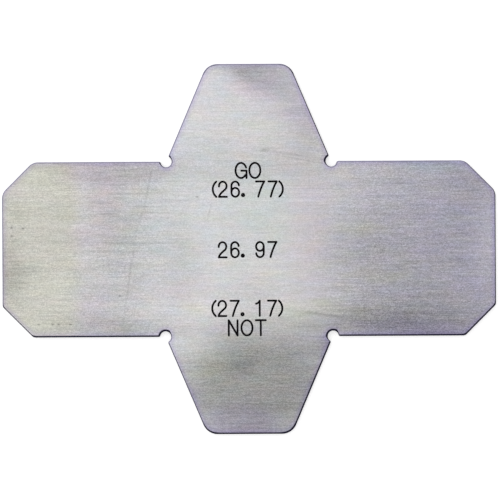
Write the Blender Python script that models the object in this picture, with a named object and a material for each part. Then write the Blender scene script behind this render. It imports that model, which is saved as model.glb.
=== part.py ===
"""Shim limit gauge: one flat, cross-shaped plate of brushed stainless sheet.

Two tapered tongues stand on a rectangular body, the GO tongue towards +Y and the NOT tongue
towards -Y. Where a tongue meets the body's shoulders it is exactly as wide as its limit, so the
shoulders come down on the checked work only when its mouth is wider than that limit. A round
relief clears each of the four inner corners, so that neither a burr nor a fillet there can hold
the gauge off the work.

The plate lies on its back face. The origin is under its middle, +X runs along its length and +Z
points up through the marked face. Lengths are in metres.
"""

import math
from collections import namedtuple

import bmesh
import bpy
from mathutils import Vector

# Body
PLATE_LENGTH = 0.0800  # from end face to end face, along X
BODY_WIDTH = 0.0284  # from the GO shoulders to the NOT shoulders, along Y
SHEET_THICKNESS = 0.0010
END_CHAMFER = 0.0050  # each leg of the 45 degree cut at the four end corners
GO_END_RADIUS = 0.0020  # rounds both corners of that cut on the GO side
NOT_END_RADIUS = 0.0008  # and on the NOT side

# Tongues
GO_WIDTH = 0.02677  # the lower limit, measured on the shoulder line
NOT_WIDTH = 0.02717  # the upper limit, measured on the shoulder line
TONGUE_DEPTH = 0.0158  # from the shoulder line to the tip, the same on both sides
FLANK_ANGLE_DEG = 23.0  # each flank against the tongue's centre line
TIP_RADIUS = 0.0025

# Relief notches and edges
RELIEF_RADIUS = 0.0009  # centred where flank and shoulder would meet
LIP_RADIUS = 0.00025  # where a relief runs out into its flank and its shoulder
EDGE_BREAK = 0.00015  # flat of the deburred edge round both faces

# Fineness of the round stretches, and the angle above which an edge is sharp
ARC_STEP = math.radians(9.0)
SHARP_ANGLE = math.radians(30.0)

# Brushed stainless steel
STEEL_COLOR = (0.479, 0.473, 0.491, 1.0)
STEEL_ROUGHNESS = 0.36

Corner = namedtuple("Corner", "point radius")


def empty_scene():
    """Remove every object that the file opened with."""
    for existing in list(bpy.data.objects):
        bpy.data.objects.remove(existing, do_unlink=True)


def arc(centre, first, last, turn):
    """Points on a circle from first to last, anticlockwise if turn is 1, clockwise if it is -1."""
    radius = (first - centre).length
    start = math.atan2(first.y - centre.y, first.x - centre.x)
    end = math.atan2(last.y - centre.y, last.x - centre.x)
    sweep = turn * ((turn * (end - start)) % math.tau)
    steps = math.ceil(abs(sweep) / ARC_STEP)
    angles = [start + sweep * step / steps for step in range(steps + 1)]
    return [centre + radius * Vector((math.cos(angle), math.sin(angle))) for angle in angles]


def rounded_corner(before, corner, after, radius):
    """An outward corner between two straight edges, rounded to the radius."""
    back = (before - corner).normalized()
    ahead = (after - corner).normalized()
    half_angle = back.angle(ahead) / 2
    reach = radius / math.tan(half_angle)
    centre = corner + (back + ahead).normalized() * radius / math.sin(half_angle)
    return arc(centre, corner + back * reach, corner + ahead * reach, 1)


def relieved_corner(before, corner, after):
    """An inward corner cleared by a round notch centred on it, with both of its lips rounded."""
    back = (before - corner).normalized()
    ahead = (after - corner).normalized()
    reach = math.sqrt(RELIEF_RADIUS**2 + 2 * RELIEF_RADIUS * LIP_RADIUS)
    lip_start = corner + back * reach
    lip_end = corner + ahead * reach
    first_lip = lip_start + Vector((back.y, -back.x)) * LIP_RADIUS
    second_lip = lip_end + Vector((-ahead.y, ahead.x)) * LIP_RADIUS
    notch_start = corner + (first_lip - corner).normalized() * RELIEF_RADIUS
    notch_end = corner + (second_lip - corner).normalized() * RELIEF_RADIUS
    into_notch = arc(first_lip, lip_start, notch_start, 1)
    round_notch = arc(corner, notch_start, notch_end, -1)
    out_of_notch = arc(second_lip, notch_end, lip_end, 1)
    return into_notch[:-1] + round_notch + out_of_notch[1:]


def right_half_corners():
    """Sharp corners of the right half, anticlockwise from the NOT tip to the GO tip.

    A corner with no radius is an inner corner, which gets a relief notch.
    """
    end = PLATE_LENGTH / 2
    shoulder = BODY_WIDTH / 2
    tip = shoulder + TONGUE_DEPTH
    taper = TONGUE_DEPTH * math.tan(math.radians(FLANK_ANGLE_DEG))
    return [
        Corner(Vector((NOT_WIDTH / 2 - taper, -tip)), TIP_RADIUS),
        Corner(Vector((NOT_WIDTH / 2, -shoulder)), None),
        Corner(Vector((end - END_CHAMFER, -shoulder)), NOT_END_RADIUS),
        Corner(Vector((end, END_CHAMFER - shoulder)), NOT_END_RADIUS),
        Corner(Vector((end, shoulder - END_CHAMFER)), GO_END_RADIUS),
        Corner(Vector((end - END_CHAMFER, shoulder)), GO_END_RADIUS),
        Corner(Vector((GO_WIDTH / 2, shoulder)), None),
        Corner(Vector((GO_WIDTH / 2 - taper, tip)), TIP_RADIUS),
    ]


def mirrored(point):
    """The same place on the left half."""
    return Vector((-point.x, point.y))


def plate_outline():
    """The whole outline, anticlockwise. The left half mirrors the right."""
    corners = right_half_corners()
    places = [corner.point for corner in corners]
    places = [mirrored(places[0])] + places + [mirrored(places[-1])]
    right_half = []
    for before, corner, after in zip(places, corners, places[2:]):
        if corner.radius is None:
            right_half += relieved_corner(before, corner.point, after)
        else:
            right_half += rounded_corner(before, corner.point, after, corner.radius)
    left_half = [mirrored(point) for point in reversed(right_half)]
    return right_half + left_half


def brushed_steel():
    """Stainless steel with a fine brushed face."""
    material = bpy.data.materials.new("brushed_steel")
    material.use_nodes = True
    shader = material.node_tree.nodes["Principled BSDF"]
    shader.inputs["Base Color"].default_value = STEEL_COLOR
    shader.inputs["Metallic"].default_value = 1.0
    shader.inputs["Roughness"].default_value = STEEL_ROUGHNESS
    return material


def cut_sheet(name, outline, thickness):
    """A flat piece of sheet cut to an outline, lying on Z = 0."""
    shape = bmesh.new()
    back_face = shape.faces.new([shape.verts.new((point.x, point.y, 0.0)) for point in outline])
    raised = bmesh.ops.extrude_face_region(shape, geom=[back_face])["geom"]
    front_corners = [item for item in raised if isinstance(item, bmesh.types.BMVert)]
    bmesh.ops.translate(shape, verts=front_corners, vec=(0.0, 0.0, thickness))
    bmesh.ops.recalc_face_normals(shape, faces=shape.faces)
    mesh = bpy.data.meshes.new(name)
    shape.to_mesh(mesh)
    shape.free()
    mesh.shade_smooth()
    mesh.set_sharp_from_angle(angle=SHARP_ANGLE)
    sheet = bpy.data.objects.new(name, mesh)
    bpy.context.scene.collection.objects.link(sheet)
    return sheet


def break_edges(piece, width):
    """Take the sharp edge off both faces, all the way round."""
    deburr = piece.modifiers.new("deburred edge", "BEVEL")
    deburr.width = width
    deburr.segments = 1
    deburr.limit_method = "ANGLE"
    deburr.angle_limit = 2 * SHARP_ANGLE


def make_gauge_plate():
    """The whole gauge, from one piece of sheet."""
    plate = cut_sheet("gauge_plate", plate_outline(), SHEET_THICKNESS)
    break_edges(plate, EDGE_BREAK)
    plate.data.materials.append(brushed_steel())
    return plate


empty_scene()
make_gauge_plate()
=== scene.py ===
# %% [markdown]
# # A shim limit gauge, dressed for the camera
#
# The real gauge is one flat sheet of brushed stainless steel. It was cut along one outline by a
# thin beam, its edges were broken by hand, and its limits were engraved with a small round-nosed
# cutter and filled with black paint. This file follows the same order: load the measured solid,
# cut the sheet, break its edge, engrave and fill the marks, then give the steel its finish and
# light it on a white table.
#
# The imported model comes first. It is a fixed frame, and everything below is placed on it.

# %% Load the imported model
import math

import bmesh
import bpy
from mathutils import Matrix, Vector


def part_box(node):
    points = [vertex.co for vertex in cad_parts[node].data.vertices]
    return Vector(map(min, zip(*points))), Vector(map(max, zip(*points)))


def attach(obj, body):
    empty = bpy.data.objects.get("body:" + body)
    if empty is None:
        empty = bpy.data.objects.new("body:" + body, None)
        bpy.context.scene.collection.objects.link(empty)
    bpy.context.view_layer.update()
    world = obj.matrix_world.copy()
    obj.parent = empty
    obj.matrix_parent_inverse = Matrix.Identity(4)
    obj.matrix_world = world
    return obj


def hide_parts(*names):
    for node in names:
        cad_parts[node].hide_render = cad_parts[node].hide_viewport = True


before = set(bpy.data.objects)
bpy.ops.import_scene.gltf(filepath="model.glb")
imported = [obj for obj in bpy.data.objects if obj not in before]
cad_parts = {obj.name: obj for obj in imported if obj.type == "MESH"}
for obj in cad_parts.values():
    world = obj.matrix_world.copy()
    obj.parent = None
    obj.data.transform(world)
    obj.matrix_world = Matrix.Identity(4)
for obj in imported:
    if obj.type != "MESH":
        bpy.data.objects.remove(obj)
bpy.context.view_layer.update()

# %% [markdown]
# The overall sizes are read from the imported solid, so the dressed plate can't drift away from it.
# The frame is in metres. The plate is modelled in millimetres and made 1000 times smaller at the
# end, because Blender's Booleans lose their way among details of a few hundredths of a
# thousandth of a unit, which is what the engraved strokes would be in metres.

MM = 0.001  # a millimetre, in metres
low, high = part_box("gauge_plate")
PLATE_LENGTH, TIP_TO_TIP, THICKNESS = [round(size, 4) for size in (high - low) / MM]
print("plate, in mm:", PLATE_LENGTH, "by", TIP_TO_TIP, "by", THICKNESS)

# %% [markdown]
# ## The outline
#
# A beam cutter runs along straight lines and round arcs, and Blender's edit mode can do the same:
# `extrude` drags a point along a straight line, and `spin` swings it round a centre. The other
# ways would be to cut a plane with Boolean cylinders, or to bevel its corners. Drawing the line
# keeps every arc truly round and puts its centre where the drawing has it.
#
# The spin operator turns clockwise about +Z for a positive angle, so the helper below points the
# axis down for an anticlockwise arc.

# %% A pen for drawing with one vertex
ARC_STEP = 6.0  # degrees of arc to one edge
SAME_PLACE = 0.0005  # mm, under which two points are one


def deselect_all():
    """Nothing selected and nothing in edit mode, so the next operator acts on what it makes."""
    if bpy.context.object and bpy.context.object.mode != "OBJECT":
        bpy.ops.object.mode_set(mode="OBJECT")
    bpy.ops.object.select_all(action="DESELECT")


def pick(piece):
    """Only this piece selected, and active."""
    deselect_all()
    bpy.context.view_layer.objects.active = piece
    piece.select_set(True)


def new_drawing(name):
    """An empty mesh in edit mode, made from a plane whose faces are deleted."""
    deselect_all()
    bpy.ops.mesh.primitive_plane_add(size=1)
    drawing = bpy.context.object
    drawing.name = name
    bpy.ops.object.mode_set(mode="EDIT")
    bpy.ops.mesh.select_mode(type="VERT")
    bpy.ops.mesh.delete(type="VERT")
    return drawing


def pen_down(place):
    """Put one loose vertex at a place: a new plane merged to its middle."""
    bpy.ops.mesh.select_all(action="DESELECT")
    bpy.ops.mesh.primitive_plane_add(size=1, location=place)
    bpy.ops.mesh.merge(type="CENTER")


def pen_line(here, there):
    """Draw a straight edge from here, where the pen is, to there."""
    bpy.ops.mesh.extrude_vertices_move(TRANSFORM_OT_translate={"value": there - here})


def pen_arc(centre, degrees):
    """Swing the pen round a centre, anticlockwise if the angle is positive."""
    bpy.ops.mesh.spin(
        steps=math.ceil(abs(degrees) / ARC_STEP),
        angle=math.radians(abs(degrees)),
        center=centre,
        axis=(0, 0, -1 if degrees > 0 else 1),
    )


print("the pen turns", round(360 / ARC_STEP), "edges to a full circle")

# %% [markdown]
# The drawing's sizes: a body with cut corners, a GO tongue 26.77 mm wide at its root and a NOT
# tongue 27.17 mm wide. Each flank leans in by 23 degrees. A round relief of 0.9 mm sits on each
# inner corner, so nothing there can keep the shoulders off the work, and the lips of the relief
# are eased so that they don't scratch it.

# %% Sizes on the drawing, in mm
BODY_WIDTH = 28.4
GO_WIDTH = 26.77
NOT_WIDTH = 27.17
FLANK_ANGLE = math.radians(23.0)
END_CHAMFER = 5.0
GO_END_RADIUS = 2.0
NOT_END_RADIUS = 0.8
TIP_RADIUS = 2.5
RELIEF_RADIUS = 0.9
LIP_RADIUS = 0.25
EDGE_BREAK = 0.15

shoulder = BODY_WIDTH / 2
tip = TIP_TO_TIP / 2
end = PLATE_LENGTH / 2
taper = (tip - shoulder) * math.tan(FLANK_ANGLE)
RELIEF = None  # stands in a corner's radius where the corner is an inner one
right_corners = [
    (NOT_WIDTH / 2 - taper, -tip, TIP_RADIUS),
    (NOT_WIDTH / 2, -shoulder, RELIEF),
    (end - END_CHAMFER, -shoulder, NOT_END_RADIUS),
    (end, END_CHAMFER - shoulder, NOT_END_RADIUS),
    (end, shoulder - END_CHAMFER, GO_END_RADIUS),
    (end - END_CHAMFER, shoulder, GO_END_RADIUS),
    (GO_WIDTH / 2, shoulder, RELIEF),
    (GO_WIDTH / 2 - taper, tip, TIP_RADIUS),
]
left_corners = [(-x, y, radius) for x, y, radius in reversed(right_corners)]
corners = right_corners + left_corners
print("the outline has", len(corners), "corners")

# %% [markdown]
# Each corner becomes one or three arcs. An outer corner is a single arc that touches both edges.
# An inner corner is a small arc over the lip, a long arc the other way round the relief, and a
# second lip. An arc is kept as where it starts, its centre, how far it turns and where it ends.

# %% Turn the corners into arcs


def turned(vector, quarter):
    """A flat vector turned by a quarter turn, left for 1 and right for -1."""
    return Vector((-quarter * vector.y, quarter * vector.x, 0.0))


def degrees_between(centre, first, last, way):
    """How far the pen turns round a centre, with a sign: way is 1 for anticlockwise."""
    begin = math.atan2(first.y - centre.y, first.x - centre.x)
    finish = math.atan2(last.y - centre.y, last.x - centre.x)
    return way * math.degrees((way * (finish - begin)) % math.tau)


def outer_corner(back, corner, ahead, radius):
    """One arc that touches both edges of an outer corner."""
    half = back.angle(ahead) / 2
    reach = radius / math.tan(half)
    centre = corner + (back + ahead).normalized() * radius / math.sin(half)
    first, last = corner + back * reach, corner + ahead * reach
    return [(first, centre, degrees_between(centre, first, last, 1), last)]


def inner_corner(back, corner, ahead):
    """Lip, relief and lip: three arcs that clear an inner corner."""
    reach = math.sqrt(RELIEF_RADIUS**2 + 2 * RELIEF_RADIUS * LIP_RADIUS)
    first, last = corner + back * reach, corner + ahead * reach
    first_lip = first + turned(back, -1) * LIP_RADIUS
    last_lip = last + turned(ahead, 1) * LIP_RADIUS
    enter = corner + (first_lip - corner).normalized() * RELIEF_RADIUS
    leave = corner + (last_lip - corner).normalized() * RELIEF_RADIUS
    return [
        (first, first_lip, degrees_between(first_lip, first, enter, 1), enter),
        (enter, corner, degrees_between(corner, enter, leave, -1), leave),
        (leave, last_lip, degrees_between(last_lip, leave, last, 1), last),
    ]


places = [Vector((x, y, 0.0)) for x, y, _ in corners]
arcs = []
for index, corner in enumerate(places):
    back = (places[index - 1] - corner).normalized()
    ahead = (places[(index + 1) % len(places)] - corner).normalized()
    radius = corners[index][2]
    if radius is RELIEF:
        arcs += inner_corner(back, corner, ahead)
    else:
        arcs += outer_corner(back, corner, ahead, radius)
print("the outline has", len(arcs), "arcs")

# %% [markdown]
# The pen goes round once. Each arc is drawn by itself, and a straight edge leads on to the next
# one. Where two of them end in the same place, their points are merged, so the outline closes
# and can be filled. Extruding the filled face by the thickness gives the sheet.

# %% Cut the sheet
sheet = new_drawing("gauge_sheet")
for index, (first, centre, degrees, last) in enumerate(arcs):
    pen_down(first)
    pen_arc(centre, degrees)
    next_first = arcs[(index + 1) % len(arcs)][0]
    if (next_first - last).length > SAME_PLACE:
        pen_line(last, next_first)
bpy.ops.mesh.select_all(action="SELECT")
bpy.ops.mesh.remove_doubles(threshold=SAME_PLACE)
bpy.ops.mesh.edge_face_add()
bpy.ops.mesh.extrude_region_move(TRANSFORM_OT_translate={"value": (0, 0, THICKNESS)})
bpy.ops.mesh.select_all(action="SELECT")
bpy.ops.mesh.normals_make_consistent(inside=False)
bpy.ops.object.mode_set(mode="OBJECT")
print("cut sheet:", len(sheet.data.vertices), "vertices,", len(sheet.data.polygons), "faces")

# %% [markdown]
# ## The broken edge
#
# A freshly cut sheet is sharp, so both faces have their edge taken off. On the real plate this is
# a stroke of a fine file and reads as a thin line round the outline. It could be a Bevel modifier,
# but a bevel in edit mode on just the two rims leaves the walls of the notches alone. Three steps
# make it round instead of a flat chamfer.

# %% Break the edge of both faces


def select_level_edges(piece, heights):
    """Select the edges that lie flat at one of these heights, and count them."""
    shape = bmesh.from_edit_mesh(piece.data)
    for edge in shape.edges:
        first, last = [vertex.co.z for vertex in edge.verts]
        far = [max(abs(first - height), abs(last - height)) for height in heights]
        edge.select_set(min(far) < SAME_PLACE)
    shape.select_flush_mode()
    bmesh.update_edit_mesh(piece.data)
    return sum(edge.select for edge in shape.edges)


RIM_STEPS = 3
bpy.ops.object.mode_set(mode="EDIT")
bpy.ops.mesh.select_mode(type="EDGE")
bpy.ops.mesh.select_all(action="DESELECT")
rim_edges = select_level_edges(sheet, (0.0, THICKNESS))
bpy.ops.mesh.bevel(offset=EDGE_BREAK, segments=RIM_STEPS, profile=0.5, clamp_overlap=False)
bpy.ops.object.mode_set(mode="OBJECT")
print("edges broken:", rim_edges)

# %% [markdown]
# ## The marks
#
# The marks are cut by a small cutter with a round nose, led along each letter's middle line, so
# every stroke has the same width and round ends. Blender's own font would give flat ends and
# changing widths. So each letter is drawn as strokes with the same pen, and the strokes become
# round tubes that cut the sheet.
#
# A stroke is a list of points. Straight ones have two, and the helpers below give the round ones.
# All sizes are in millimetres from the middle of the letter's cell, on its base line.

# %% Helpers for strokes
MARK_HEIGHT = 2.46  # mm
CURVE_STEPS = 8
OVAL_STEP = 15.0  # degrees


def line(*points):
    """A stroke through straight points."""
    return [Vector(point) for point in points]


def oval(x, y, across, up, begin, finish):
    """Part of an oval round (x, y), with both angles in degrees."""
    steps = math.ceil(abs(finish - begin) / OVAL_STEP)
    angles = [math.radians(begin + (finish - begin) * step / steps) for step in range(steps + 1)]
    return [Vector((x + across * math.cos(angle), y + up * math.sin(angle))) for angle in angles]


def swept(first, lead, trail, last):
    """A smooth curve from first to last, pulled by two handles."""
    bend = []
    for step in range(CURVE_STEPS + 1):
        t = step / CURVE_STEPS
        begin = Vector(first).lerp(Vector(lead), t)
        middle = Vector(lead).lerp(Vector(trail), t)
        finish = Vector(trail).lerp(Vector(last), t)
        bend.append(begin.lerp(middle, t).lerp(middle.lerp(finish, t), t))
    return bend


def upside_down(strokes):
    """The same strokes turned half round, as a 9 is a 6 turned over."""
    return [[Vector((-point.x, MARK_HEIGHT - point.y)) for point in stroke] for stroke in strokes]


def in_a_mirror(strokes, shift):
    """The same strokes seen in a mirror and moved sideways."""
    return [[Vector((shift - point.x, point.y)) for point in stroke] for stroke in strokes]


print("a full ring has", round(360 / OVAL_STEP), "points")

# %% The letters and numbers
TOP = MARK_HEIGHT
MIDDLE = MARK_HEIGHT / 2
six = [
    oval(-0.01, 1.78, 0.61, TOP - 1.78, 4, 180) + line((-0.62, 0.80)),
    oval(0.0, 0.72, 0.62, 0.72, 180, 540),
]
bracket = oval(2.0, MIDDLE, 1.61, 1.61, 130, 230)
STROKES = {
    "G": [
        oval(0.0, MIDDLE, 0.89, MIDDLE, 22, 322),
        line((0.05, 1.19), (0.885, 1.19)),
        line((0.885, 1.13), (0.885, 0)),
    ],
    "O": [oval(0.0, MIDDLE, 0.895, MIDDLE, 90, 450)],
    "N": [
        line((-0.71, 0), (-0.71, TOP)),
        line((-0.68, TOP - 0.05), (0.68, 0.05)),
        line((0.71, 0), (0.71, TOP)),
    ],
    "T": [line((-0.81, TOP), (0.81, TOP)), line((0, TOP - 0.05), (0, 0))],
    "1": [
        line((0.01, TOP), (0.01, 0)),
        swept((-0.58, 1.97), (-0.28, 2.05), (-0.10, 2.2), (-0.03, TOP - 0.05)),
    ],
    "2": [
        oval(0.0, 1.75, 0.615, TOP - 1.75, 186, -36)
        + swept((0.49, 1.31), (0.30, 1.05), (-0.45, 0.65), (-0.62, 0))[1:],
        line((-0.56, 0), (0.66, 0)),
    ],
    "6": six,
    "7": [
        line((-0.67, TOP), (0.67, TOP)),
        swept((0.64, TOP - 0.05), (0.22, 1.72), (-0.10, 0.80), (-0.31, 0)),
    ],
    "9": upside_down(six),
    ".": [oval(-0.76, 0.27, 0.18, 0.18, 0, 360)],
    "(": [bracket],
    ")": in_a_mirror([bracket], 0.03),
}
print("letters with strokes:", " ".join(sorted(STROKES)))

# %% [markdown]
# Five lines of marks stand one above the other. A word's letters are 2.24 mm apart and a number's
# 2.02 mm, and a point takes a whole cell. The plain number between the two limits is their middle.
# Each line was set up by itself on the machine, so the lines don't quite stand over each other.

# %% Where the lines of marks stand
WORD_PITCH = 2.24
NUMBER_PITCH = 2.02
MARK_LINES = {  # the text, the pitch of its letters, its middle and its base line
    "go_mark": ("GO", WORD_PITCH, -0.12, 11.50),
    "go_limit": ("(26.77)", NUMBER_PITCH, -0.17, 8.47),
    "middle_size": ("26.97", NUMBER_PITCH, -0.26, -1.34),
    "not_limit": ("(27.17)", NUMBER_PITCH, -0.35, -10.85),
    "not_mark": ("NOT", WORD_PITCH, -0.40, -14.01),
}


def laid_out(text, pitch, middle, base_line):
    """Every stroke of a line of text, as points on the plate."""
    strokes = []
    for cell, letter in enumerate(text):
        place = Vector((middle + (cell - (len(text) - 1) / 2) * pitch, base_line))
        for stroke in STROKES[letter]:
            strokes.append([(place + point).to_3d() for point in stroke])
    return strokes


print("lines of marks:", [row[0] for row in MARK_LINES.values()])

# %% [markdown]
# The cutter's path is the stroke itself, with a few short steps added at each end where the tube
# shrinks like the end of a ball. The drawing is turned into a curve, whose bevel gives it the
# cutter's round section, and then back into a mesh. The nose of the cutter is 0.18 mm in radius,
# and it goes in just deep enough for a groove as wide as the real strokes.

# %% Draw a line of marks as the cutter's path
NOSE_RADIUS = 0.18  # mm
MARK_WIDTH = 0.335  # mm
TUBE_RESOLUTION = 6
NOSE_ANGLES = [math.radians(angle) for angle in (30, 60, 85)]
cut_depth = NOSE_RADIUS - math.sqrt(NOSE_RADIUS**2 - (MARK_WIDTH / 2) ** 2)
nose_height = THICKNESS - cut_depth + NOSE_RADIUS


def with_round_ends(points):
    """The points of a stroke, with the steps of the round nose before and after them."""
    before = (points[0] - points[1]).normalized() * NOSE_RADIUS
    after = (points[-1] - points[-2]).normalized() * NOSE_RADIUS
    lead_in = [points[0] + before * math.sin(angle) for angle in reversed(NOSE_ANGLES)]
    lead_out = [points[-1] + after * math.sin(angle) for angle in NOSE_ANGLES]
    return lead_in + points + lead_out


def cutter_tubes(name, strokes):
    """Round tubes along the strokes, at the height where the cutter runs."""
    new_drawing(name)
    for stroke in strokes:
        is_ring = (stroke[0] - stroke[-1]).length < SAME_PLACE
        path = stroke if is_ring else with_round_ends(stroke)
        pen_down(path[0])
        for here, there in zip(path, path[1:]):
            pen_line(here, there)
    bpy.ops.mesh.select_all(action="SELECT")
    bpy.ops.mesh.remove_doubles(threshold=SAME_PLACE)
    bpy.ops.transform.translate(value=(0, 0, nose_height))
    bpy.ops.object.mode_set(mode="OBJECT")
    bpy.ops.object.convert(target="CURVE")
    tube = bpy.context.object
    tube.data.bevel_depth = NOSE_RADIUS
    tube.data.bevel_resolution = TUBE_RESOLUTION
    tube.data.use_fill_caps = True
    for spline in tube.data.splines:
        for step, angle in enumerate(reversed(NOSE_ANGLES)):
            if not spline.use_cyclic_u:
                spline.points[step].radius = math.cos(angle)
                spline.points[-1 - step].radius = math.cos(angle)
    bpy.ops.object.convert(target="MESH")
    bpy.ops.object.mode_set(mode="EDIT")
    bpy.ops.mesh.select_all(action="SELECT")
    bpy.ops.mesh.remove_doubles(threshold=SAME_PLACE)
    bpy.ops.mesh.normals_make_consistent(inside=False)
    bpy.ops.object.mode_set(mode="OBJECT")
    return bpy.context.object


print("groove depth in mm:", round(cut_depth, 3))

# %% [markdown]
# A Boolean takes the tubes away from the sheet, which leaves real grooves. The strokes of a letter
# cross each other, and a Boolean is only sure of itself with a clean cutter, so the tubes are
# first made one body by cutting them with a slab. Two slabs are used. One ends a little above the
# steel, and what is left of the tubes is the shape of the grooves. The other ends a hair below
# it, and what is left is the paint, which sinks as wiped paint does.

# %% Two slabs, and what they leave of a line of marks
PAINT_SINK = 0.004  # mm
CUT_ABOVE = 0.02  # mm


def slab(name, top):
    """A block under the whole plate, with its top at a height."""
    deselect_all()
    bpy.ops.mesh.primitive_cube_add(size=1, location=(0, 0, top / 2))
    block = bpy.context.object
    block.name = name
    bpy.ops.object.mode_set(mode="EDIT")
    bpy.ops.transform.resize(value=(PLATE_LENGTH, TIP_TO_TIP, top))
    bpy.ops.object.mode_set(mode="OBJECT")
    return block


def combine(piece, other, operation, crossing=False):
    """Apply one Boolean to a piece. Crossing says that its own strokes cross each other."""
    bpy.context.view_layer.objects.active = piece
    bpy.ops.object.modifier_add(type="BOOLEAN")
    boolean = piece.modifiers[-1]
    boolean.operation = operation
    boolean.solver = "EXACT"
    boolean.use_self = crossing
    boolean.object = other
    bpy.ops.object.modifier_apply(modifier=boolean.name)


def copy_of(piece, name):
    """A copy of a piece with its own mesh."""
    twin = piece.copy()
    twin.data = piece.data.copy()
    twin.name = name
    bpy.context.collection.objects.link(twin)
    return twin


groove_slab = slab("groove_slab", THICKNESS + CUT_ABOVE)
paint_slab = slab("paint_slab", THICKNESS - PAINT_SINK)
marks, grooves = [], []
for name, row in MARK_LINES.items():
    mark = cutter_tubes(name, laid_out(*row))
    groove = copy_of(mark, name + "_groove")
    combine(mark, paint_slab, "INTERSECT", crossing=True)
    combine(groove, groove_slab, "INTERSECT", crossing=True)
    marks.append(mark)
    grooves.append(groove)
    print(name, "faces of paint:", len(mark.data.polygons))

# %% [markdown]
# All the grooves are joined and taken away from the sheet at once. A Boolean can leave points
# that lie almost on each other, so these are merged, and slivers without an area are dissolved.

# %% Cut the grooves into the sheet
deselect_all()
for groove in grooves:
    groove.select_set(True)
bpy.context.view_layer.objects.active = grooves[0]
bpy.ops.object.join()
combine(sheet, grooves[0], "DIFFERENCE")
pick(sheet)
bpy.ops.object.mode_set(mode="EDIT")
bpy.ops.mesh.select_mode(type="VERT")
bpy.ops.mesh.select_all(action="SELECT")
bpy.ops.mesh.remove_doubles(threshold=SAME_PLACE)
bpy.ops.mesh.dissolve_degenerate(threshold=SAME_PLACE)
bpy.ops.object.mode_set(mode="OBJECT")
for helper in (grooves[0], groove_slab, paint_slab):
    bpy.data.objects.remove(helper, do_unlink=True)
print("engraved sheet:", len(sheet.data.vertices), "vertices,", len(sheet.data.polygons), "faces")

# %% [markdown]
# ## Shading
#
# A flat face has to stay flat in its reflection, and the rounded edge has to look round. Smooth
# shading by angle would also bend the light near the edge of the big flat faces, so the loops
# where the rounding starts and ends are marked sharp first, and only what lies between is smooth.
#
# The plate also gets a flat UV map, with U along its length. The brushed finish reads its
# direction from it.

# %% Smooth the edge and lay out the brushing
SMOOTH_ANGLE = math.radians(32)
pick(sheet)
bpy.ops.object.mode_set(mode="EDIT")
bpy.ops.mesh.select_mode(type="EDGE")
bpy.ops.mesh.select_all(action="DESELECT")
flat_limits = (0.0, EDGE_BREAK, THICKNESS - EDGE_BREAK, THICKNESS)
creased = select_level_edges(sheet, flat_limits)
bpy.ops.mesh.mark_sharp()
bpy.ops.mesh.select_all(action="SELECT")
bpy.ops.uv.cube_project(cube_size=PLATE_LENGTH)
bpy.ops.object.mode_set(mode="OBJECT")
bpy.ops.object.shade_smooth_by_angle(angle=SMOOTH_ANGLE)
sheet.data.uv_layers.active.name = "brushing"
for mark in marks:
    pick(mark)
    bpy.ops.object.shade_smooth_by_angle(angle=SMOOTH_ANGLE)
print("edges kept sharp:", creased, "UV maps:", [layer.name for layer in sheet.data.uv_layers])

# %% [markdown]
# The modelling is done, so the plate and its paint are made 1000 times smaller, about the origin.
# The scale is then applied, which puts it into the mesh and leaves the object itself unscaled, as the
# frame wants it. Each piece says which body it rides on, and the plate takes the place of the
# imported one.

# %% Hand the pieces to the frame


def in_metres(piece):
    """Scale a piece from millimetres to metres, and leave its place and its scale in its mesh."""
    pick(piece)
    piece.location = piece.location * MM
    piece.scale = (MM, MM, MM)
    bpy.ops.object.transform_apply(location=True, rotation=True, scale=True)


sheet.name = "dressed_plate"
for piece in [sheet] + marks:
    in_metres(piece)
    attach(piece, "root")
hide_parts("gauge_plate")
print("pieces handed over:", 1 + len(marks))

# %% [markdown]
# ## Finishes
#
# A finish is a small network of nodes. The helpers below keep the networks short to write: each
# adds one node to the network that was opened last, fills its sockets with numbers or links, and
# gives back its output.

# %% Helpers for nodes
networks = []  # the helpers add their nodes to the last one


def new_material(name):
    """A new material with an empty network, which is then the open one."""
    material = bpy.data.materials.new(name)
    material.use_nodes = True
    material.node_tree.nodes.clear()
    networks.append(material.node_tree)
    return material


def add_node(kind, settings=None, sockets=None, output=0):
    """Add a node, set it up, fill its sockets, and give back one of its outputs."""
    tree = networks[-1]
    node = tree.nodes.new("ShaderNode" + kind)
    for name, value in (settings or {}).items():
        setattr(node, name, value)
    for name, value in (sockets or {}).items():
        if isinstance(value, bpy.types.NodeSocket):
            tree.links.new(value, node.inputs[name])
        else:
            node.inputs[name].default_value = value
    return node.outputs[output] if node.outputs else node


def calculate(operation, *values):
    """A Math node, for an operation on numbers."""
    return add_node("Math", {"operation": operation}, dict(enumerate(values)))


def sum_of(first, second):
    """Two numbers added."""
    return calculate("ADD", first, second)


def product(first, second):
    """Two numbers multiplied."""
    return calculate("MULTIPLY", first, second)


def eased(value, start, finish, first=0.0, last=1.0):
    """Go softly from first to last while the value goes from start to finish."""
    sockets = {0: value, 1: start, 2: finish, 3: first, 4: last}
    return add_node("MapRange", {"interpolation_type": "SMOOTHSTEP"}, sockets)


def calculate_vector(operation, *values, output=0):
    """A Vector Math node, for an operation on places, directions or colours."""
    return add_node("VectorMath", {"operation": operation}, dict(enumerate(values)), output)


def reach_along(first, second):
    """How far the first vector reaches along the second, as one number."""
    return calculate_vector("DOT_PRODUCT", first, second, output="Value")


def scaled(vector, factor):
    """A vector or a colour times one number."""
    return add_node("VectorMath", {"operation": "SCALE"}, {0: vector, "Scale": factor})


def place_in_mm():
    """Where a point lies on the piece, in millimetres."""
    return scaled(add_node("TexCoord", output="Object"), 1 / MM)


def one_axis(place, axis):
    """One of the three numbers of a place."""
    return add_node("SeparateXYZ", None, {0: place}, axis)


def mixed(factor, first, second):
    """Go from the first colour to the second as the factor goes from 0 to 1."""
    return add_node("Mix", {"data_type": "RGBA"}, {0: factor, 6: first, 7: second}, 2)


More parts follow.
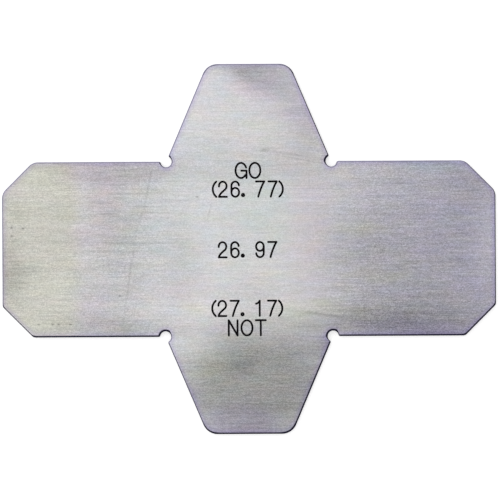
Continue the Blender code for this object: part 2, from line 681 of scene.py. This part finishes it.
def tinted(colour, factor, tint):
    """Lay a tint over a colour by multiplying, as strong as the factor says."""
    settings = {"data_type": "RGBA", "blend_type": "MULTIPLY"}
    return add_node("Mix", settings, {0: factor, 6: colour, 7: (*tint, 1.0)}, 2)


print("node helpers are ready")

# %% [markdown]
# Every pattern on the steel is made of two things: noise drawn out along the brushing, and soft
# ovals. A Mapping node could move and turn an oval too. There are nearly ninety of them, though,
# and so many Mapping nodes in one material are more than Cycles can hold at once: it then renders
# the piece black. Subtracting the middle and dividing by the reach does the same with less.

# %% Noise and ovals


def noise(place, length, width, detail=2.0, shift=0.0, output=0):
    """Noise drawn out along the brushing. Length and width are in millimetres."""
    sockets = {"Vector": place, "Location": (shift,) * 3, "Scale": (1 / length, 1 / width, 1 / width)}
    moved = add_node("Mapping", None, sockets)
    return add_node("TexNoise", None, {"Vector": moved, "Scale": 1.0, "Detail": detail}, output)


def three_noises(place, length, width, detail):
    """Three noises as one vector, each of them between -0.5 and 0.5."""
    clouds = noise(place, length, width, detail, output="Color")
    return calculate_vector("SUBTRACT", clouds, (0.5, 0.5, 0.5))


def wandering(place, far, length, width):
    """The same place pushed about by noise, by up to half of far, so an oval loses its outline."""
    push = three_noises(place, length, width, 3.0)
    return calculate_vector("ADD", place, calculate_vector("MULTIPLY", push, far))


def patch(place, centre, reach, turn=0.0, soft=1.0):
    """An oval patch: 1 in its middle, 0 from its rim on, and soft is the share that fades."""
    inside = calculate_vector("SUBTRACT", place, (*centre, 0.0))
    if turn == 0:
        inside = calculate_vector("MULTIPLY", inside, (1 / reach[0], 1 / reach[1], 0.0))
    else:
        cosine, sine = math.cos(math.radians(turn)), math.sin(math.radians(turn))
        along = reach_along(inside, (cosine / reach[0], sine / reach[0], 0.0))
        across = reach_along(inside, (-sine / reach[1], cosine / reach[1], 0.0))
        inside = add_node("CombineXYZ", None, {0: along, 1: across})
    far = calculate_vector("LENGTH", inside, output="Value")
    return eased(far, 1.0 - soft, 1.0, 1.0, 0.0)


print("noise and ovals are ready")

# %% [markdown]
# ## Brushed steel
#
# The sheet was rubbed along its length with a fine belt. Under soft light that reads as three things:
# a short blotchy grain, long faint streaks, and broad lighter and darker patches. The patches are
# painted reflection and shade. All three are drawn out along X, in millimetres on the plate.
# An image of brushed metal would be quicker, but it repeats, and it has no single true size.
#
# The thin film on the steel also shows soft colours: straw at the left end, lilac at the right
# end, and pink and cool parts between them.

# %% Patches of painted reflection and shade, and of colour
STEEL = (0.60, 0.595, 0.605)
PAINTED_LIGHT_PATCHES = {  # middle and reach in mm, how much lighter, and turn and softness if not 0 and 1; lighter is painted reflection, darker is painted shade
    "painted shade at the GO tip": ((1.8, 27.7), (8.8, 4.4), -0.28, -17),
    "darker streak in it": ((-0.8, 28.4), (3.4, 1.5), -0.1, -30),
    "along the GO tip": ((0, 30), (13, 2.6), -0.12),
    "right side of the GO tongue": ((9, 22), (6, 10), -0.14, 15),
    "NOT tongue": ((1, -21.8), (21, 13.5), -0.49, 0, 0.7),
    "along the NOT tip": ((0, -30), (13, 2.6), -0.12),
    "dark spot on the NOT tongue": ((-0.8, -18.9), (4.5, 2.4), -0.12, 12),
    "above the NOT tongue": ((0, -7.5), (9, 4.5), -0.08),
    "root of the NOT tongue, left": ((-8.5, -16), (6, 4), 0.12),
    "left arm": ((-27, 0), (21, 30), -0.15, 0, 0.8),
    "upper edge of the left arm": ((-24, 13.5), (18, 5), -0.1),
    "lower edge of the left arm": ((-21, -12.8), (15, 3.8), -0.24),
    "left of the marks": ((-11, -2), (6, 14), -0.1),
    "beside the marks on the right": ((18, -1), (10, 15), -0.13),
    "right arm": ((28, -1), (19, 20), -0.12, 0, 0.8),
    "lower edge of the right arm": ((22, -12.2), (19, 3.4), -0.18),
    "painted shade band on the left arm": ((-20.5, 3), (7.5, 18), -0.1),
    "lighter spot on the left arm": ((-31, -6.5), (6, 5), 0.07),
    "painted shade at the left end": ((-39, -4), (4.5, 9), -0.22),
    "lower right": ((24, -12), (22, 8), -0.2, 0, 0.8),
    "top right corner": ((35.5, 11), (7, 5.5), -0.08, -45),
    "painted reflection at the right end": ((39.6, 2), (5, 12), 0.17),
    "upper part of the left end": ((-38.5, 5.5), (3.5, 5.5), -0.09),
    "upper edge": ((-2, 13.5), (40, 5.5), -0.1),
    "root of the left arm": ((-16, 12), (6.5, 4.5), -0.11),
    "right root of the NOT tongue": ((12.4, -15.8), (3, 3), -0.1),
}
TINT_PATCHES = {  # middle and reach in mm, the tint in the middle, and softness if not 1
    "straw at the left end": ((-60, 0), (34, 60), (1, 1, 0.89), 0.1),
    "brown where it is handled": ((-39, -2.5), (1.8, 5), (1, 0.964, 0.973)),
    "pink at the top left corner": ((-37.4, 9.6), (3.2, 3.6), (1, 0.964, 0.9955)),
    "pink beside the straw": ((-23.3, 10), (4.2, 14), (1, 0.935, 0.985), 0.9),
    "pink at the upper edge": ((-27.5, 12.6), (5, 2.8), (1, 0.946, 0.991)),
    "pink half way down": ((-27.2, 2.4), (4.5, 2.8), (1, 0.946, 0.991)),
    "pink at its lower end": ((-24.5, -9.5), (4.8, 5), (1, 0.9505, 0.991)),
    "cool left arm": ((-14.5, 2), (7.5, 14), (0.964, 0.9955, 1)),
    "pink left of the marks": ((-12, -6), (10, 3.6), (1, 0.964, 0.9865)),
    "straw below the pink": ((-8.5, -9.6), (4.5, 2.8), (1, 1, 0.937)),
    "lilac beside the NOT mark": ((-4.4, -12.2), (3.4, 2.4), (0.973, 0.955, 1)),
    "pink right of the GO mark": ((7, 14), (5, 2.6), (1, 0.9685, 0.991)),
    "cool middle": ((-3, 6), (14, 14), (0.973, 1, 1)),
    "pale green in the middle": ((3, 5.5), (6.5, 13), (0.9595, 1, 0.982)),
    "pink right of the marks": ((10, 3.5), (5.5, 17), (1, 0.9505, 0.9865)),
    "straw below it": ((8.5, -10.5), (8.5, 3.5), (0.988, 1, 0.92)),
    "lilac right arm": ((38, 0), (33, 40), (0.862, 0.842, 1)),
    "green grey on the NOT tongue": ((-1, -20.5), (14, 9.5), (0.982, 1, 0.955), 0.8),
    "straw on its left": ((-6, -19.5), (4.5, 5), (1, 0.996, 0.936)),
    "violet beside its right root": ((12.6, -15.6), (2.6, 2.6), (0.9, 0.88, 1)),
    "lilac at the root of the left arm": ((-15, 13.2), (5, 2.4), (0.955, 0.946, 1)),
    "lilac at the NOT tip": ((-1.5, -27.8), (9, 4.6), (0.9, 0.875, 1), 0.7),
    "lilac up its left flank": ((-9.5, -24), (2.6, 4), (0.936, 0.912, 1)),
    "lilac at the GO tip": ((4, 28), (9, 6), (0.944, 0.92, 1)),
    "pink below the dark GO tip patch": ((-0.5, 26), (6.5, 2.6), (1, 0.955, 0.9865)),
    "cool left of the dark GO tip patch": ((-5.2, 26), (4.2, 4), (0.964, 0.991, 1)),
    "pink on the GO tongue": ((4.2, 23), (5, 3.6), (1, 0.964, 0.9865)),
    "cool root of the GO tongue": ((-9.5, 16), (9.5, 8), (0.96, 0.98, 1)),
    "lilac beside the GO tongue": ((9.5, 22), (5, 9), (0.95, 0.91, 1)),
    "lilac low on the right arm": ((24, -14), (21, 5), (0.915, 0.895, 1), 0.9),
    "green at the top of the right arm": ((30, 13.3), (8, 1.8), (0.928, 1, 0.991), 0.9),
    "straw streak on the right arm": ((18.5, 3.2), (6.5, 1.6), (1, 1, 0.883)),
    "straw streak below it": ((21.5, -4.2), (6.5, 2), (1, 1, 0.892)),
    "straw streak at the lower right": ((31.7, -7.5), (5, 1.8), (1, 1, 0.91)),
    "paler right end": ((40.5, 0), (5, 13), (1, 1, 0.945), 0.9),
}

print("patches of tone:", len(PAINTED_LIGHT_PATCHES), "and of tint:", len(TINT_PATCHES))

# %% [markdown]
# A used gauge has scratches. A scratch is a very long thin oval, so the same helper draws it, and a
# little wandering keeps it from being ruled. The darker streaks along the brushing are made the
# same way, only wider and fainter, and a speck is a short one.

# %% Scratches, streaks and specks
SCRATCHES = {  # start and end in mm, the half width, and how much darker
    "long scratch, upper part": ((-15.4, 14.6), (-17.1, 5.4), 0.32, 0.13),
    "long scratch, bend": ((-16.5, 8.4), (-18.6, 1.8), 0.32, 0.09),
    "long scratch, lower part": ((-17.9, 5.1), (-21.1, -15.3), 0.32, 0.11),
    "short scratch": ((-5.7, 8.6), (-7, 3.8), 0.26, 0.13),
    "streak beside the band": ((-25.2, 5.8), (-20.4, 5.8), 0.22, 0.28),
    "streak beyond it": ((-21, 6), (-10, 5.9), 0.26, 0.15),
    "streak at the pink patch": ((-27, 7.7), (-21.4, 7.5), 0.24, 0.15),
    "streak on the straw part": ((-32.5, 7), (-26.4, 7), 0.24, 0.09),
    "streak above the band": ((-20.1, 7), (-13.4, 6.9), 0.22, 0.18),
    "higher streak": ((-27, 9.2), (-12, 9), 0.24, 0.09),
    "long faint streak": ((-31, 1.2), (-7, 1), 0.3, 0.11),
    "its lower neighbour": ((-29, -0.2), (-15, -0.4), 0.28, 0.1),
    "third one down": ((-23.5, -3.6), (-18.5, -3.7), 0.26, 0.12),
    "streak left of the limit": ((-17, 8), (-7.2, 7.9), 0.28, 0.14),
    "streak below the GO tongue": ((1.4, 16.1), (13.2, 14.4), 0.36, 0.16),
    "second streak below it": ((2.8, 15.5), (13.7, 13.5), 0.26, 0.14),
    "smear at its start": ((1.6, 15.9), (3.8, 16.1), 0.5, 0.2),
    "streak above the lower edge": ((3.8, -9.7), (20.8, -11.7), 0.45, 0.2),
}
SPECKS = [  # in mm
    (-38.5, 3.6), (-38.5, 2.3), (-36.7, 3.5), (-34.2, -12.1), (-31.9, -12.1),
    (-30.9, -12.1), (-29, -12.1), (-21, -7.5), (-8.4, 8.5),
]
SPECK_DARKER = 0.42
SPECK_REACH = (0.40, 0.25)
SCRATCH_WANDER = ((0.4, 0.25, 0.0), 4.0, 3.0)  # how far, and the length and width of the noise


def scratched(place):
    """How much darker the scratches, streaks and specks make the steel."""
    crooked = wandering(place, *SCRATCH_WANDER)
    darker = 0.0
    for start, finish, half_width, amount in SCRATCHES.values():
        run = Vector(finish) - Vector(start)
        centre = (Vector(start) + Vector(finish)) / 2
        turn = math.degrees(math.atan2(run.y, run.x))
        scratch = patch(crooked, centre, (run.length / 2, half_width), turn)
        darker = sum_of(darker, product(scratch, amount))
    for centre in SPECKS:
        speck = patch(crooked, centre, SPECK_REACH)
        darker = sum_of(darker, product(speck, SPECK_DARKER))
    return darker


print("scratches and streaks:", len(SCRATCHES), "specks:", len(SPECKS))

# %% [markdown]
# The brightness of the face is the patches of painted reflection and shade, less the scratches, times
# the grain. The grain is five noises of very different lengths, from specks to broad bands. It is
# fine in the middle of the plate, and coarser on both arms and where the steel is dark.
#
# The painted patches and the scratches are only on the marked face, so the back has only the even
# brushing.

# %% Brightness of the brushed face
GRAIN = {  # length and width in mm, detail, shift, and how much the brightness swings
    "specks": (0.17, 0.12, 1.0, 19.0, 0.50),
    "grain": (0.50, 0.15, 1.0, 0.0, 0.19),
    "hairs": (3.2, 0.17, 2.0, 29.0, 0.22),
    "streaks": (9.0, 0.30, 3.0, 7.0, 0.16),
    "broad": (22.0, 2.2, 2.0, 3.0, 0.08),
}
COARSE_LEFT, COARSE_MIDDLE, COARSE_RIGHT = 0.68, 0.55, 1.05
COARSE_IN_DARK = 1.2
TO_LEFT_ARM, TO_RIGHT_ARM = (-20.0, -8.0), (8.0, 22.0)  # mm along the plate, where it changes
TONE_WANDER = ((6.0, 2.4, 0.0), 12.0, 1.8)
BACK_TONE = 0.88


def patched_tone(place):
    """A brightness near 1 that follows the patches of painted reflection and shade."""
    tone = 1.0
    for centre, reach, lighter, *shape in PAINTED_LIGHT_PATCHES.values():
        tone = sum_of(tone, product(patch(place, centre, reach, *shape), lighter))
    return tone


def coarseness(place, tone):
    """How strong the grain is at a place."""
    across = one_axis(place, "X")
    left = eased(across, *TO_LEFT_ARM, COARSE_LEFT, COARSE_MIDDLE)
    right = eased(across, *TO_RIGHT_ARM, 0.0, COARSE_RIGHT - COARSE_MIDDLE)
    darkness = calculate("SUBTRACT", 1.0, tone)
    return sum_of(sum_of(left, right), product(darkness, COARSE_IN_DARK))


def steel_tone(place, front):
    """Brightness of the brushed steel, and the height of its grain."""
    patterns = {name: noise(place, *row[:-1]) for name, row in GRAIN.items()}
    # The patches paint reflection and shade into the steel's brightness.
    tone = patched_tone(wandering(place, *TONE_WANDER))
    coarse = coarseness(place, tone)
    tone = calculate("SUBTRACT", tone, scratched(place))
    tone = eased(front, 0.0, 1.0, BACK_TONE, tone)
    for name, pattern in patterns.items():
        half_swing = GRAIN[name][-1] / 2
        swing = product(coarse, eased(pattern, 0.2, 0.8, -half_swing, half_swing))
        tone = product(tone, sum_of(swing, 1.0))
    return tone, sum_of(patterns["grain"], patterns["streaks"])


print("noises in the grain:", ", ".join(GRAIN))

# %% [markdown]
# The colour starts as plain steel. Each patch multiplies it by its tint, and a few faint tints
# drift over all of it. Last come small cloudy changes between pink and green, and between straw
# and lilac, which make the film look thin and uneven. They are calm on the straw part.

# %% Colour of the brushed face
TINT_WANDER = ((2.4, 1.6, 0.0), 9.0, 3.0)
DRIFT_SIZE = (9.0, 2.2)  # mm along and across the brushing
DRIFT_AMOUNT = (0.30, 0.60)  # left and right
DRIFTING_TINTS = {  # by the shift of their noise
    11.0: (0.985, 1.0, 0.90),
    23.0: (1.0, 0.96, 0.99),
    37.0: (0.96, 0.975, 1.0),
}
CLOUD_SIZE = (3.2, 1.5)
CLOUD_RED, CLOUD_BLUE = (0.17, 0.10), (0.17, 0.20)  # swing of the colour, left and right
CLOUD_ON_STRAW = 0.5
STRAW_ENDS = (-31.0, -23.0)  # mm along the plate, where the straw part turns into the pink one
RIGHT_BEGINS = (4.0, 15.0)  # mm along the plate, where the middle turns into the right arm


def clouded(place, across, colour):
    """Small cloudy changes of a colour."""
    clouds = three_noises(place, *CLOUD_SIZE, 1.0)
    red = eased(across, *RIGHT_BEGINS, *CLOUD_RED)
    blue = eased(across, *RIGHT_BEGINS, *CLOUD_BLUE)
    swing = add_node("CombineXYZ", None, {0: red, 2: blue})
    swing = scaled(swing, eased(across, *STRAW_ENDS, CLOUD_ON_STRAW, 1.0))
    change = calculate_vector("MULTIPLY", clouds, swing)
    change = calculate_vector("ADD", change, (1.0, 1.0, 1.0))
    return calculate_vector("MULTIPLY", colour, change)


def steel_tint(place, front):
    """Colour of the brushed steel, plain on the back."""
    colour = plain = (*STEEL, 1.0)
    pushed = wandering(place, *TINT_WANDER)
    for centre, reach, tint, *soft in TINT_PATCHES.values():
        colour = tinted(colour, patch(pushed, centre, reach, 0.0, *soft), tint)
    across = one_axis(place, "X")
    drift_amount = eased(across, *RIGHT_BEGINS, *DRIFT_AMOUNT)
    for shift, tint in DRIFTING_TINTS.items():
        drift = eased(noise(place, *DRIFT_SIZE, 2.0, shift), 0.45, 0.68)
        colour = tinted(colour, product(drift, drift_amount), tint)
    return mixed(front, plain, clouded(place, across, colour))


print("drifting tints:", len(DRIFTING_TINTS))

# %% [markdown]
# The beam that cut the sheet also warmed it, which left a faint violet tint along the outline. A
# narrow dark line is painted along the lower and right sides, and round one side of each relief, away
# from the lamp: it is painted shade. To paint them, the shader has to know how far a point is from
# the outline. That can be worked out from a few straight lines, because the plate is the same left
# and right, and the body and the tongue are each the inside of such lines. A soft minimum rounds the
# corners where the lines meet. The reliefs are circles.

# %% How far a point is from the outline
DIAGONAL = math.sqrt(0.5)
SLANT_X, SLANT_Y = math.cos(FLANK_ANGLE), math.sin(FLANK_ANGLE)
BODY_ROUNDING, TIP_ROUNDING = 0.6, 2.5  # mm, over which the soft minimum rounds a corner
SHADED_SIDE = Vector((0.5, -0.87, 0.0)).normalized()  # the side away from the lamp, where the dark line is painted shade
DARK_LINE = 0.12  # mm, how far the painted shade of the dark line reaches into the face there
DARK_ARC = 0.18  # mm, the same painted shade round a relief
SIDE_IS_DARK, ARC_IS_DARK = (0.40, 0.75), (0.0, 0.6)  # how far it faces that way, first and fully


def smallest(values, rounding):
    """The least of some distances, with the corners between them rounded."""
    least = values[0]
    for value in values[1:]:
        least = calculate("SMOOTH_MIN", least, value, rounding)
    return least


def inside_lines(folded, shaded_side, lines, rounding):
    """How far inside some lines a point is, less the width of the painted shade line on their shaded
    sides.
    """
    distances = []
    for across, along, offset in lines:
        outward = (across, along, 0.0)
        reach = reach_along(folded, outward)
        facing = reach_along(shaded_side, outward)
        reach = sum_of(reach, eased(facing, *SIDE_IS_DARK, 0.0, DARK_LINE))
        distances.append(calculate("SUBTRACT", offset, reach))
    return smallest(distances, rounding)


def outside_relief(folded, shaded_side, half_tongue):
    """How far outside the relief a point is, less the width of the painted shade line round its
    shaded side.
    """
    corner = add_node("CombineXYZ", None, {0: half_tongue, 1: shoulder})
    flat = calculate_vector("MULTIPLY", folded, (1.0, 1.0, 0.0))
    from_corner = calculate_vector("DISTANCE", flat, corner, output="Value")
    to_corner = calculate_vector("SUBTRACT", corner, flat)
    to_corner = calculate_vector("NORMALIZE", to_corner)
    facing = reach_along(shaded_side, to_corner)
    radius = eased(facing, *ARC_IS_DARK, RELIEF_RADIUS, RELIEF_RADIUS + DARK_ARC)
    return calculate("SUBTRACT", from_corner, radius)


def outline_distance(place):
    """The distance in mm from a point on the plate to the inner side of the outline's painted shade
    line.
    """
    folded = calculate_vector("ABSOLUTE", place)
    quarter = calculate_vector("SIGN", place)
    shaded_side = calculate_vector("MULTIPLY", quarter, SHADED_SIDE)
    is_not = calculate("LESS_THAN", one_axis(place, "Y"), 0.0)
    half_tongue = sum_of(product(is_not, (NOT_WIDTH - GO_WIDTH) / 2), GO_WIDTH / 2)
    cut_corner = (end + shoulder - END_CHAMFER) * DIAGONAL
    body_lines = ((1.0, 0.0, end), (0.0, 1.0, shoulder), (DIAGONAL, DIAGONAL, cut_corner))
    body = inside_lines(folded, shaded_side, body_lines, BODY_ROUNDING)
    flank = sum_of(product(half_tongue, SLANT_X), shoulder * SLANT_Y)
    tongue_lines = ((SLANT_X, SLANT_Y, flank), (0.0, 1.0, tip))
    tongue = inside_lines(folded, shaded_side, tongue_lines, TIP_ROUNDING)
    relief = outside_relief(folded, shaded_side, half_tongue)
    return calculate("MINIMUM", calculate("MAXIMUM", body, tongue), relief)


print("the dark line reaches in by up to", DARK_LINE, "mm")

# %% [markdown]
# The cut edge is darker than the face. The beam left fine upright ridges on the walls, and a thin
# bluish-purple scale. The rounded edge is painted lighter where it faces up and to the left, towards
# the lamp, and painted in dark shade on the other side. The height on the plate tells the walls, the
# rounded edge and the faces apart, and the direction in which the edge faces sets this painted light
# and shade.
#
# The brushing lies along U of the UV map. Anisotropy draws the reflection of a lamp out across
# it, as the fine grooves do on the real sheet, and a little bump roughens it.

# %% The brushed steel finish
STEEL_ROUGHNESS = 0.36
ANISOTROPY = 0.6
QUARTER_TURN = 0.25  # so that the reflection is drawn out across U
# The rounded edge's two colours are painted light and shade: the filed colour where it faces the
# lamp, the dark scale colour away from it and in the dark line.
EDGE_SCALE_AND_SHADE = (0.011, 0.009, 0.028, 1.0)
EDGE_FILED_AND_LIT = (0.25, 0.235, 0.36, 1.0)
EDGE_ROUGHNESS, WALL_ROUGHNESS = 0.6, 0.45
EDGE_METALLIC, WALL_METALLIC = 0.15, 0.85
EDGE_SPECULAR = 0.15
WALL_COLOUR = (0.30, 0.285, 0.33)
RIDGES_PER_MM = (6.0, 6.0, 0.5)
RIDGE_SHADES = (0.6, 1.3)  # times the colour of the wall, in the grooves and on the ridges
RIDGE_HEIGHT = 4.0  # times the height of the grain
HEAT_TINT = (0.875, 0.845, 1.0)
HEAT_REACH = 0.9  # mm
EDGE_TOP = (0.004, 0.0005)  # mm under the face, where the finish of the edge starts to end and ends
LINE_BLUR = 0.03  # mm, half the width over which the dark line fades
BUMP_HEIGHT = 0.002  # mm
HALF = THICKNESS / 2


def edge_colour(ridges, on_wall):
    """Colour of the walls, and of the rounded edge by the way it faces: painted light towards the
    lamp, painted shade away from it.
    """
    facing = add_node("TexCoord", output="Normal")
    facing = calculate_vector("MULTIPLY", facing, (1.0, 1.0, 0.0))
    facing = calculate_vector("NORMALIZE", facing)
    # Painted light and shade: the rounded edge is lighter where it faces the lamp and dark away from
    # it.
    shaded_part = eased(reach_along(facing, SHADED_SIDE), -0.9, 0.2)
    rounded = mixed(shaded_part, EDGE_FILED_AND_LIT, EDGE_SCALE_AND_SHADE)
    wall = scaled(WALL_COLOUR, eased(ridges, 0.3, 0.7, *RIDGE_SHADES))
    return mixed(on_wall, rounded, wall)


def brushed_steel():
    """Brushed faces with a dark line of painted shade along the outline, a rounded edge and ridged
    walls.
    """
    material = new_material("brushed_steel")
    place = place_in_mm()
    level = one_axis(place, "Z")
    front = eased(level, HALF - EDGE_BREAK, HALF + EDGE_BREAK)
    tone, height = steel_tone(place, front)
    face = scaled(steel_tint(place, front), tone)
    from_line = outline_distance(place)
    heated = eased(from_line, EDGE_BREAK, EDGE_BREAK + HEAT_REACH, 1.0, 0.0)
    face = tinted(face, heated, HEAT_TINT)
    # The dark line along the outline is painted shade.
    in_line = eased(from_line, EDGE_BREAK - LINE_BLUR, EDGE_BREAK + LINE_BLUR, 1.0, 0.0)
    face = mixed(in_line, face, EDGE_SCALE_AND_SHADE)

    from_middle = calculate("ABSOLUTE", calculate("SUBTRACT", level, HALF))
    on_edge = eased(from_middle, HALF - EDGE_TOP[0], HALF - EDGE_TOP[1], 1.0, 0.0)
    on_wall = eased(from_middle, HALF - EDGE_BREAK, HALF - EDGE_BREAK / 2, 1.0, 0.0)
    upright = add_node("Mapping", None, {"Vector": place, "Scale": RIDGES_PER_MM})
    ridges = add_node("TexNoise", None, {"Vector": upright, "Scale": 1.0, "Detail": 2.0})
    height = sum_of(height, product(product(ridges, on_wall), RIDGE_HEIGHT))
    bump = {"Height": height, "Strength": 1.0, "Distance": BUMP_HEIGHT * MM}

    scale_and_shade_band = calculate("MAXIMUM", on_edge, in_line)
    edge_metallic = eased(on_wall, 0.0, 1.0, EDGE_METALLIC, WALL_METALLIC)
    edge_roughness = eased(on_wall, 0.0, 1.0, EDGE_ROUGHNESS, WALL_ROUGHNESS)
    shine = add_node("BsdfPrincipled", None, {
        "Base Color": mixed(on_edge, face, edge_colour(ridges, on_wall)),
        "Metallic": eased(scale_and_shade_band, 0.0, 1.0, 1.0, edge_metallic),
        "Roughness": eased(scale_and_shade_band, 0.0, 1.0, STEEL_ROUGHNESS, edge_roughness),
        "Specular IOR Level": EDGE_SPECULAR,
        "Anisotropic": ANISOTROPY,
        "Anisotropic Rotation": QUARTER_TURN,
        "Tangent": add_node("Tangent", {"direction_type": "UV_MAP", "uv_map": "brushing"}),
        "Normal": add_node("Bump", None, bump),
    })
    add_node("OutputMaterial", None, {"Surface": shine})
    return material


sheet.data.materials.clear()
sheet.data.materials.append(brushed_steel())
print("nodes in the steel:", len(sheet.data.materials[0].node_tree.nodes))

# %% [markdown]
# The marks are filled with matt black paint. It is a little uneven, where it dried and was wiped.

# %% The paint in the marks
PAINT = (0.003, 0.003, 0.0035)
PAINT_SPECULAR = 0.05
PAINT_BUMP = 0.01  # mm


def mark_paint():
    """Matt black paint with uneven spots."""
    material = new_material("mark_paint")
    spots = noise(place_in_mm(), 0.2, 0.2)
    bump = {"Height": spots, "Strength": 1.0, "Distance": PAINT_BUMP * MM}
    shine = add_node("BsdfPrincipled", None, {
        "Base Color": scaled(PAINT, eased(spots, 0.3, 0.7, 0.6, 1.6)),
        "Roughness": eased(spots, 0.3, 0.7, 0.5, 0.75),
        "Specular IOR Level": PAINT_SPECULAR,
        "Normal": add_node("Bump", None, bump),
    })
    add_node("OutputMaterial", None, {"Surface": shine})
    return material


paint = mark_paint()
for mark in marks:
    mark.data.materials.clear()
    mark.data.materials.append(paint)
print("painted marks:", len(marks))

# %% [markdown]
# ## Floor, light and camera
#
# The gauge was photographed from straight above on pure white. The floor is a white table. What
# the lamps leave on it is a little short of white, so it also glows a little for the camera and
# for reflections, which brings it to white and still lets the plate's soft shadow show.

# %% The white table
FLOOR_SIZE = 3.0
FLOOR_COLOUR = (0.8, 0.8, 0.8, 1.0)
FLOOR_GLOW = 0.50
FLOOR_DROP = 0.02  # mm, so that the table and the plate's back are never in one plane


def white_table():
    """Lit white, with a faint glow for the camera, for mirrors and through glass."""
    material = new_material("white_table")
    seen = 0.0
    for ray in ("Is Camera Ray", "Is Glossy Ray", "Is Transmission Ray"):
        seen = calculate("MAXIMUM", seen, add_node("LightPath", output=ray))
    glow = add_node("Emission", None, {"Strength": product(seen, FLOOR_GLOW)})
    lit = add_node("BsdfDiffuse", None, {"Color": FLOOR_COLOUR})
    both = add_node("AddShader", None, {0: lit, 1: glow})
    add_node("OutputMaterial", None, {"Surface": both})
    return material


deselect_all()
bpy.ops.mesh.primitive_plane_add(size=FLOOR_SIZE, location=(0, 0, -FLOOR_DROP * MM))
floor = bpy.context.object
floor.name = "table"
floor.data.materials.append(white_table())
print("table:", FLOOR_SIZE, "m wide")

# %% [markdown]
# The light is soft and comes from three sides. A pale room, brighter at the upper left, fills the
# shadows. A strip of light hangs over the left arm and the middle, which reflect it, while the right
# arm falls off into grey, and the painted patches on the steel add more of this reflection and shade.
# A square softbox at the upper left lights the edge from that side, and the edge's colour is also
# painted lighter there and darker on the other side.

# %% Soft light
WORLD_DARK, WORLD_BRIGHT = 0.52, 0.80
BRIGHT_SIDE = Vector((-0.6, 0.7, 0.4)).normalized()
LAMPS = {  # place and aim, width and length, all in metres, and brightness
    "overhead_strip": ((-0.035, 0.0, 0.260), (-0.035, 0.0, 0.0), 0.110, 0.400, 0.55),
    "side_key": ((-0.45, 0.35, 0.55), (0.0, 0.0, 0.0), 0.50, 0.50, 1.2),
}


def studio_world():
    """A pale room that is brighter on one side."""
    world = bpy.data.worlds.new("studio")
    world.use_nodes = True
    networks.append(world.node_tree)
    towards = reach_along(add_node("TexCoord", output="Generated"), BRIGHT_SIDE)
    background = world.node_tree.nodes["Background"]
    background.inputs["Color"].default_value = (1.0, 1.0, 1.0, 1.0)
    strength = eased(towards, -0.8, 0.9, WORLD_DARK, WORLD_BRIGHT)
    world.node_tree.links.new(strength, background.inputs["Strength"])
    return world


def softbox(name, place, aim, width, length, brightness):
    """A lamp with a flat front. A brightness of 1 looks white in a mirror."""
    bpy.ops.object.light_add(type="AREA", location=place)
    lamp = bpy.context.object
    lamp.name = name
    lamp.data.shape = "RECTANGLE"
    lamp.data.size = width
    lamp.data.size_y = length
    lamp.data.energy = brightness * math.pi * width * length
    lamp.visible_camera = False
    lamp.rotation_euler = (Vector(aim) - Vector(place)).to_track_quat("-Z", "Y").to_euler()


bpy.context.scene.world = studio_world()
for name, row in LAMPS.items():
    softbox(name, *row)

# %% [markdown]
# The camera looks straight down through a long lens, so the plate's walls don't show. It is
# turned by a quarter of a degree, as the photographer's was.

# %% The camera
FRAME_WIDTH = 81.03 * MM  # what the picture's width covers at the plate's face
LENS = 150.0  # mm
SENSOR = 36.0  # mm
AIM = Vector((0.151, -0.170)) * MM
ROLL = math.radians(-0.284)
bpy.ops.object.camera_add(location=(AIM.x, AIM.y, THICKNESS * MM + FRAME_WIDTH * LENS / SENSOR))
camera = bpy.context.object
camera.rotation_euler = (0, 0, ROLL)
camera.data.lens = LENS
camera.data.sensor_width = SENSOR
camera.data.clip_start = 0.01
bpy.context.scene.camera = camera
bpy.context.scene.view_settings.view_transform = "Standard"
print("camera height in mm:", round(camera.location.z / MM, 1))
